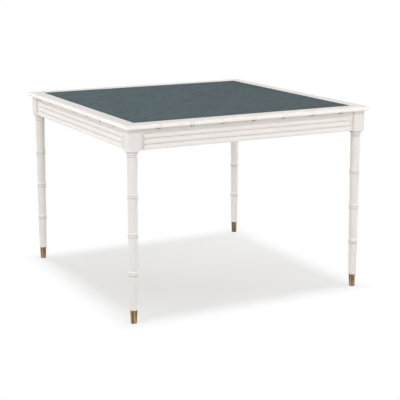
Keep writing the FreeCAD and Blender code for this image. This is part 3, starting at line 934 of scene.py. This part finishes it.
# Painted shade towards the underside of the cuts and in a pool under each ring
shade_run = 1.3
shade_under_ring = 6.0
shade_pool_shares = (0.4, 0.9)
moulding_step = 9.0 * mm
knuckle_step = 0.5 * mm
knuckle_step_reach = 10.0 * mm
moulding_tongue = 5.0 * mm
moulding_tongue_half = 2.0 * mm
moulding_radius = (table_height - top_underside) / 2
table_side = 2 * (border_reach + moulding_radius)
knuckle_pitch = table_side / (moulding_knuckles + 1)
knuckle_places = [knuckle_pitch * (i + 1) - table_side / 2 for i in range(moulding_knuckles)]


def cane_moulding(x):
    """Radius, painted shade and hang at places x along the cane.

    At each knuckle a ring swells, a notch is cut on both sides of it, and the cane hangs lower."""
    radius = np.full_like(x, moulding_radius)
    painted_shading = np.zeros_like(x)
    hang = np.zeros_like(x)
    for place in knuckle_places:
        distance = x - place
        radius += moulding_ring_rise * swelling(distance, moulding_ring_crown, moulding_ring_half)
        hang += swelling(distance, hang_core, hang_reach)
        cut = notch(np.abs(distance) - moulding_ring_half - moulding_cut_gap, moulding_cut_half)
        radius -= moulding_cut_depth * cut
        painted_shading += cut
    return radius, painted_shading, hang


def moulding_surface():
    """Half a circle of the cane's radius, from its top round the outside to its underside, and
    then the flat back with its tongue. The underside hangs by the square of the sine.

    The painted shade in the cuts grows with the depth below the middle, and more painted shade
    pools under the hang."""
    fine = (knuckle_places, knuckle_step, knuckle_step_reach)
    x = stations(-border_reach, border_reach, moulding_step, *fine)[:, None]
    radius, painted_shading, hang = cane_moulding(x)
    turn = np.linspace(np.pi / 2, -np.pi / 2, 33)
    under = np.clip(-np.sin(turn), 0, 1) ** 2
    arc_y = -border_reach - radius * np.cos(turn)
    arc_z = top_middle + radius * np.sin(turn) - moulding_ring_hang * hang * under
    back_y = -border_reach + moulding_tongue * np.array([0, 1, 1, 0]) + 0 * x
    back_z = top_middle + moulding_tongue_half * np.array([-1, -1, 1, 1]) + 0 * x
    y = np.concatenate([arc_y, back_y], axis=1)
    z = np.concatenate([arc_z, back_z], axis=1)
    # Painted shade grows below the middle, and pools under each ring
    below = np.clip(shade_run * (top_middle - z) / moulding_radius, 0, None)
    pooled_shade = np.append(np.interp(under, shade_pool_shares, (0, 1)), [1, 1, 1, 1])
    return joined(between_mitres(x, y), y, z), np.maximum(painted_shading * below, shade_under_ring * hang * pooled_shade)


# A lighter white as painted highlight
white = by_side(moulding_highlight_lacquer)
four_round("cane_moulding_*", "moulding_*", side_names, moulding_surface(), white, "lacquer", caps=True)

# %% [markdown]
# ## The reeds
#
# Three reeds lie on each apron, one above the other. A reed is a round stick with ball ends,
# split lengthwise: its radius stays the same and then falls as in a ball, and the flat back
# cuts the circle at a fixed depth. So the half angle of the arc is the arc cosine of that depth
# over the radius, and it closes to nothing exactly at the tip.

# %% Reeds
# Painted shade in the angle between reed and apron
reed_angle_shade = 0.45
reed_angle_power = 8


def reed_surface(level):
    """A split stick with ball ends: the arc outside and the flat back that lies on the apron.

    Painted shade grows towards both edges of the arc, in the angle where reed and apron meet."""
    low, high = corners("reed_front_" + level)
    half_width = (high[2] - low[2]) / 2
    depth = high[1] - low[1]
    radius = (half_width**2 + depth**2) / (2 * depth)
    axis_y = low[1] + radius
    axis_z = (low[2] + high[2]) / 2
    straight = high[0] - half_width
    end_x = straight + half_width * np.sin(np.linspace(0, np.pi / 2, 16)[1:])
    x = np.concatenate([-end_x[::-1], np.linspace(-straight, straight, 60), end_x])[:, None]
    past = np.clip(np.abs(x) - straight, 0, half_width)
    here = np.sqrt(radius**2 - past**2)
    half_angle = np.arccos(np.clip((radius - depth) / here, -1, 1))
    share = np.linspace(1, -1, 29)
    arc_y = axis_y - here * np.cos(half_angle * share)
    arc_z = axis_z + here * np.sin(half_angle * share)
    back_share = np.linspace(-1, 1, 9)[1:-1]
    back_z = axis_z + here * np.sin(half_angle) * back_share
    back_y = np.full_like(back_z, high[1])
    y = np.concatenate([arc_y, back_y], axis=1)
    z = np.concatenate([arc_z, back_z], axis=1)
    # Painted shade at both edges of the arc
    angle_share = np.append(np.abs(share) ** reed_angle_power, np.ones_like(back_share))
    return joined(x, y, z), np.broadcast_to(reed_angle_shade * angle_share, y.shape)


# A lighter white as painted highlight
white = by_side(highlight_lacquer)
for level in ("lower", "middle", "upper"):
    node = "reed_*_" + level
    four_round("split_" + node, node, side_names, reed_surface(level), white, "lacquer")

# %% [markdown]
# ## The leather field
#
# The field is two triangular hides that meet on the diagonal. Each is a thin closed sheet glued
# to the panel. The edges are pared and pressed down, so the surface rolls off towards the
# border and, less, towards the seam, and painted shade darkens a narrow strip there and a wider,
# fainter band along the border. The rows of the sheet run from the diagonal to the opposite
# corner and shrink to a point there, and its columns go over the top of the sheet and back
# along its underside.

# %% Hides
edge_roll_width = 4.5 * mm
edge_roll_drop = 0.45 * mm
# Painted shade in a wide faint band along the border
border_shade_strength = 0.28
border_shade_width = 16.0 * mm
seam_roll_width = 3.0 * mm
seam_roll_drop = 0.35 * mm
seam_half_gap = 0.1 * mm
roll_falloff = 3


def crowded(count):
    """Shares from 0 to 1, crowded towards both ends by a sine squared."""
    return np.sin(np.linspace(0, np.pi / 2, count)) ** 2


def rolled(distance, width):
    """An exponential of the distance from an edge: 1 at the edge, a twentieth at the width."""
    return np.exp(-np.maximum(distance, 0) / width * roll_falloff)


def hide_surface():
    """The front hide, a grid between seam and corner whose top rolls down at border and seam.

    The painted shade is the largest of the two rolls and a bell curve of the distance to the border."""
    reach = hide_high[0]
    along = reach * (2 * crowded(count=110) - 1)
    inward = np.append(0, crowded(count=90))[:, None]
    slip = seam_half_gap / math.sqrt(2) * (1 - inward)
    x = along + (reach - along) * inward + slip
    y = along - (reach + along) * inward - slip
    to_border = reach - np.maximum(np.abs(x), np.abs(y))
    to_seam = (x - y) / math.sqrt(2) - seam_half_gap
    border_roll = rolled(to_border, edge_roll_width)
    seam_roll = rolled(to_seam, seam_roll_width)
    top_z = hide_high[2] - edge_roll_drop * border_roll - seam_roll_drop * seam_roll
    top_z[0, :] = hide_low[2]
    under = joined(x, y, hide_low[2])[:, ::-1]
    # Painted shade: a band along the border, and the rolls at border and seam
    border_shade = border_shade_strength * np.exp(-((to_border / border_shade_width) ** 2))
    edge_shade = np.maximum(np.maximum(border_roll, seam_roll), border_shade)
    points = np.concatenate([joined(x, y, top_z), under], axis=1)
    return points, np.concatenate([edge_shade, np.zeros_like(x)], axis=1)


hide_points, hide_shading = hide_surface()
for name, turns in (("front", 0), ("back", 2)):
    hide = shaped("leather_hide_" + name, quarter_turned(hide_points, turns), hide_shading, sharp_degrees=50)
    dress(hide, leather, "hide", "leather_" + name)

# %% [markdown]
# ## The pieces that keep their solids
#
# Straight boards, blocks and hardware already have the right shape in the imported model. They
# only need their finish.

# %% Finishes of the carried-over pieces
steel_nodes = ["top_clips", "clip_screws", "corner_block_screws"]
steel_nodes += ["hanger_bolts", "bolt_washers", "bolt_nuts"]
node_finishes = {
    "top_panel": birch_ply,
    "cross_rail": poplar_y,
    "mitre_splines": beech,
    "apron_dowels": beech,
    "ferrule_screws": metals["plain_brass"],
}
node_finishes |= {node: metals["zinc_steel"] for node in steel_nodes}
# The aprons' lacquer paints the moulding's shadow in the angle under it
node_finishes |= {"apron_" + side: finish for side, finish in zip(side_names, by_side(lacquer))}
node_finishes |= {"corner_block_" + corner: poplar for corner in corner_names}
for name, material in node_finishes.items():
    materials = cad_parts[name].data.materials
    materials.clear()
    materials.append(material)
print("finished nodes", len(node_finishes))

# %% [markdown]
# ## Floor, light and camera
#
# The table stands in a white studio. The floor takes the soft shadow, and is otherwise as white
# as the paper behind it: a Light Path node adds the missing white for the camera and for
# reflections only, so that no extra light falls on the table. Away from the table the lit colour
# fades out while the added white grows to exactly 1. Were the sum above 1, it would bleed over
# the edges of the legs and make them look thin. The floor is clear from below, for a camera that
# looks up at the underside of the table.

# %% Floor
floor_half = 40.0
floor_bounce = (0.85, 0.85, 0.85, 1)
floor_seen = (0.45, 0.457, 0.467, 1)
floor_lift = 0.442
shadow_reach = 0.43
white_reach = 0.60


def seen_directly(tree):
    """1 for what the camera sees, straight or in a reflection or through glass, and 0 for light."""
    path = put(tree, "LightPath").outputs
    glossy = calculate(tree, "MAXIMUM", path["Is Camera Ray"], path["Is Glossy Ray"])
    return calculate(tree, "MAXIMUM", glossy, path["Is Transmission Ray"])


def make_floor_paint():
    """Matt white that passes into plain white away from the table, and is clear from below."""
    even_values = {"Emission Color": (1, 1, 1, 1), "Roughness": 0.9, "Specular IOR Level": 0.0}
    material, tree, shader, place = new_material("studio_white", even_values)
    seen = seen_directly(tree)
    away = [calculate(tree, "ABSOLUTE", along_axis(tree, place, axis)) for axis in "XY"]
    outward = calculate(tree, "MAXIMUM", *away)
    beyond = ranged(tree, outward, shadow_reach, white_reach, interpolation_type="SMOOTHSTEP")
    shown = blended(tree, beyond, floor_seen, (0, 0, 0, 1))
    white = blended(tree, seen, floor_bounce, shown)
    tree.links.new(white, shader.inputs["Base Color"])
    lift = ranged(tree, beyond, 0.0, 1.0, floor_lift, 1.0)
    tree.links.new(product(tree, lift, seen), shader.inputs["Emission Strength"])
    back_face = put(tree, "NewGeometry").outputs["Backfacing"]
    clear = put(tree, "BsdfTransparent").outputs[0]
    either = put(tree, "MixShader", {0: back_face, 1: shader.outputs[0], 2: clear})
    tree.links.new(either.outputs[0], tree.nodes["Material Output"].inputs["Surface"])
    return material


floor_mesh = bpy.data.meshes.new("studio_floor")
floor_corners = [(x * floor_half, y * floor_half, 0) for x, y in ((-1, -1), (1, -1), (1, 1), (-1, 1))]
floor_mesh.from_pydata(floor_corners, [], [(0, 1, 2, 3)])
floor = bpy.data.objects.new("studio_floor", floor_mesh)
bpy.context.scene.collection.objects.link(floor)
floor_mesh.materials.append(make_floor_paint())
print("floor", 2 * floor_half, "m square")

# %% World
world_strength = 0.01
world = bpy.data.worlds.new("studio")
bpy.context.scene.world = world
world.use_nodes = True
tree = world.node_tree
background = tree.nodes["Background"]
background.inputs["Color"].default_value = (1, 1, 1, 1)
strength = ranged(tree, seen_directly(tree), 0.0, 1.0, world_strength, 1.0)
tree.links.new(strength, background.inputs["Strength"])
print("world", world.name, world_strength)

# %% [markdown]
# ## Softboxes
#
# Large square lamps give the even light of a catalogue picture. The overhead box and the high
# ones make the soft shadow under the top. Most of the light comes low, from the left, from the
# front right and from the right back, so that every leg shows a bright edge on both sides and a
# quiet middle, and nothing is so bright that the white clips.

# %% Lamps
softboxes = {
    "overhead": ((0.0, 0.0, 3.4), 28, 3.6),
    "front_left": ((-1.9, -3.75, 1.5), 21),
    "front_right": ((1.3, -4.0, 1.5), 66),
    "right_high": ((2.65, -1.35, 3.5), 30),
    "right": ((3.2, -1.6, 2.4), 15),
    "right_back": ((4.0, 1.3, 1.5), 58),
    "back_high_right": ((1.35, 2.65, 3.5), 10),
    "back_high_left": ((-0.95, 2.85, 3.5), 27),
    "back": ((-1.3, 4.0, 1.5), 41),
    "left_back": ((-3.75, 1.9, 1.5), 27),
    "left": ((-4.0, -1.3, 1.5), 71),
}
lamp_aim = (0.0, 0.0, 0.5)


def softbox(name, place, power, size=1.8):
    """A square area lamp at a place, turned to face the table, and not seen by the camera."""
    lamp = bpy.data.lights.new(name, "AREA")
    lamp.shape = "SQUARE"
    lamp.size = size
    lamp.energy = power
    holder = bpy.data.objects.new(name, lamp)
    holder.location = place
    direction = np.array(lamp_aim) - np.array(place)
    azimuth = math.atan2(direction[1], direction[0])
    tilt = math.atan2(direction[2], math.hypot(direction[0], direction[1]))
    holder.rotation_euler = (math.pi / 2 + tilt, 0, azimuth - math.pi / 2)
    holder.visible_camera = False
    bpy.context.scene.collection.objects.link(holder)


for name, values in softboxes.items():
    softbox(name, *values)
print("softboxes", len(softboxes))

# %% [markdown]
# ## Camera
#
# The view is that of a long lens, a little above the table, turned about 28 degrees from the
# front. A small downward shift keeps the legs nearly parallel, as in a furniture catalogue.

# %% Camera
camera_turn = 27.768
camera_drop = 9.944
camera_data = bpy.data.cameras.new("camera")
camera_data.lens = 98.02
camera_data.sensor_width = 36.0
camera_data.shift_y = -0.15
camera_data.clip_end = 200.0
camera = bpy.data.objects.new("camera", camera_data)
camera.location = (-2.1127, -4.0979, 1.3914)
camera.rotation_euler = (math.radians(90 - camera_drop), 0, math.radians(-camera_turn))
bpy.context.scene.collection.objects.link(camera)
bpy.context.scene.camera = camera
bpy.context.scene.view_settings.view_transform = "Standard"
print("camera", tuple(camera.location), "lens", camera_data.lens)
